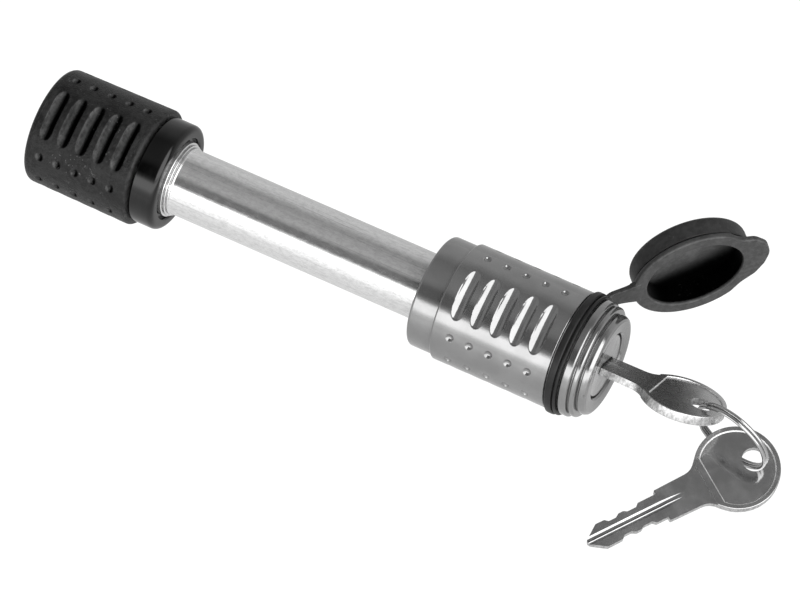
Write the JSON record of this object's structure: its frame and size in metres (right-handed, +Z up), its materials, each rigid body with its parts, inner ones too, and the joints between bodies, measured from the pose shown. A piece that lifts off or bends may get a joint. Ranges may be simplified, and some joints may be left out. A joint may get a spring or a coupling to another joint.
{
  "type": "hitch pin lock",
  "caption": "Round steel hitch pin with a rubber grip at one end and a keyed swivel lock head with a dust cap and two keys at the other.",
  "frame": {"origin": "middle of the bounding box, on the surface the lock lies on", "axes": "+X along the pin from the grip to the lock head, +Z up, the lock lying on its side as in use on a table"},
  "size_m": [0.1876, 0.0802, 0.0322],
  "materials": {
    "plated_steel": "bright plated, fine lengthwise lines",
    "rubber": "matt, fine grain",
    "gloss_black": "gloss",
    "chrome": "polished",
    "plug_metal": "satin",
    "nickel": "stamped, satin with bright edges",
    "ring_steel": "bright wire",
    "brass": "stamped",
    "bronze": "sintered",
    "hard_steel": "plain",
    "core_plastic": "moulded"
  },
  "bodies": {
    "pin": {"hitch_pin": "plated_steel", "grip_sleeve": "rubber", "grip_core": "core_plastic", "grip_pin": "hard_steel", "grip_collar": "gloss_black"},
    "bushing": {"bore_bushing": "bronze", "pin_seal": "rubber"},
    "head": {"head_shell": "chrome", "cap_band": "rubber", "cap_tether": "rubber", "cylinder_housing": "chrome", "bolt_carrier": "hard_steel", "housing_pin_1": "hard_steel", "housing_pin_2": "hard_steel"},
    "bolt_1": {"locking_bolt_1": "hard_steel"},
    "bolt_2": {"locking_bolt_2": "hard_steel"},
    "plug": {"lock_plug": "plug_metal", "drive_cam": "hard_steel", "cam_screw": "hard_steel", "plug_clip": "hard_steel", "wafer_spring_1": "hard_steel", "wafer_spring_2": "hard_steel", "wafer_spring_3": "hard_steel", "wafer_spring_4": "hard_steel", "wafer_spring_5": "hard_steel", "wafer_spring_6": "hard_steel"},
    "wafers_a": {"wafer_1": "brass", "wafer_3": "brass", "wafer_5": "brass"},
    "wafers_b": {"wafer_2": "brass", "wafer_4": "brass", "wafer_6": "brass"},
    "key": {"key_inserted": "nickel"},
    "ring": {"split_ring": "ring_steel"},
    "spare_key": {"key_spare": "nickel"},
    "cap": {"dust_cap": "rubber"}
  },
  "joints": [
    {"name": "head_slide", "type": "slide", "parent": "pin", "child": "bushing", "axis": [1, 0, 0], "range_m": [0, 0.03]},
    {"name": "head_swivel", "type": "hinge", "parent": "bushing", "child": "head", "pos_m": [-0.00324, -0.00379, 0.01465], "axis": [1, 0, 0], "continuous": true},
    {"name": "plug_turn", "type": "hinge", "parent": "head", "child": "plug", "pos_m": [-0.00324, -0.00379, 0.01465], "axis": [1, 0, 0], "range_deg": [-90, 0]},
    {"name": "bolt_1_slide", "type": "slide", "parent": "head", "child": "bolt_1", "axis": [0, 0, -1], "range_m": [0, 0.0021]},
    {"name": "bolt_2_slide", "type": "slide", "parent": "head", "child": "bolt_2", "axis": [0, 0, 1], "range_m": [0, 0.0021]},
    {"name": "key_slide", "type": "slide", "parent": "plug", "child": "key", "axis": [1, 0, 0], "range_m": [0, 0.022]},
    {"name": "wafer_lift_a", "type": "slide", "parent": "plug", "child": "wafers_a", "axis": [0, 0.829, -0.5592], "range_m": [0, 0.0006], "deforming": ["wafer_spring_1", "wafer_spring_3", "wafer_spring_5"]},
    {"name": "wafer_lift_b", "type": "slide", "parent": "plug", "child": "wafers_b", "axis": [0, -0.829, 0.5592], "range_m": [0, 0.0006], "deforming": ["wafer_spring_2", "wafer_spring_4", "wafer_spring_6"]},
    {"name": "ring_swing", "type": "hinge", "parent": "key", "child": "ring", "pos_m": [0.0725, -0.00354, 0.01471], "axis": [-0.4251, 0.1833, -0.8864], "range_deg": [-14, 30]},
    {"name": "spare_key_swing", "type": "hinge", "parent": "ring", "child": "spare_key", "pos_m": [0.08674, -0.0052, 0.0032], "axis": [0.7487, -0.221, 0.625], "range_deg": [-16, 40]},
    {"name": "cap_hinge", "type": "hinge", "parent": "head", "child": "cap", "pos_m": [0.04596, 0.01279, 0.01625], "axis": [0, -0.0958, 0.9954], "range_deg": [-60, 24]}
  ],
  "couplings": [
    {"joint": "bolt_1_slide", "follows": "plug_turn", "m_per_rad": -0.0013369},
    {"joint": "bolt_2_slide", "follows": "plug_turn", "m_per_rad": -0.0013369},
    {"joint": "wafer_lift_a", "follows": "key_slide", "ratio": 0.027273},
    {"joint": "wafer_lift_b", "follows": "key_slide", "ratio": 0.027273}
  ]
}
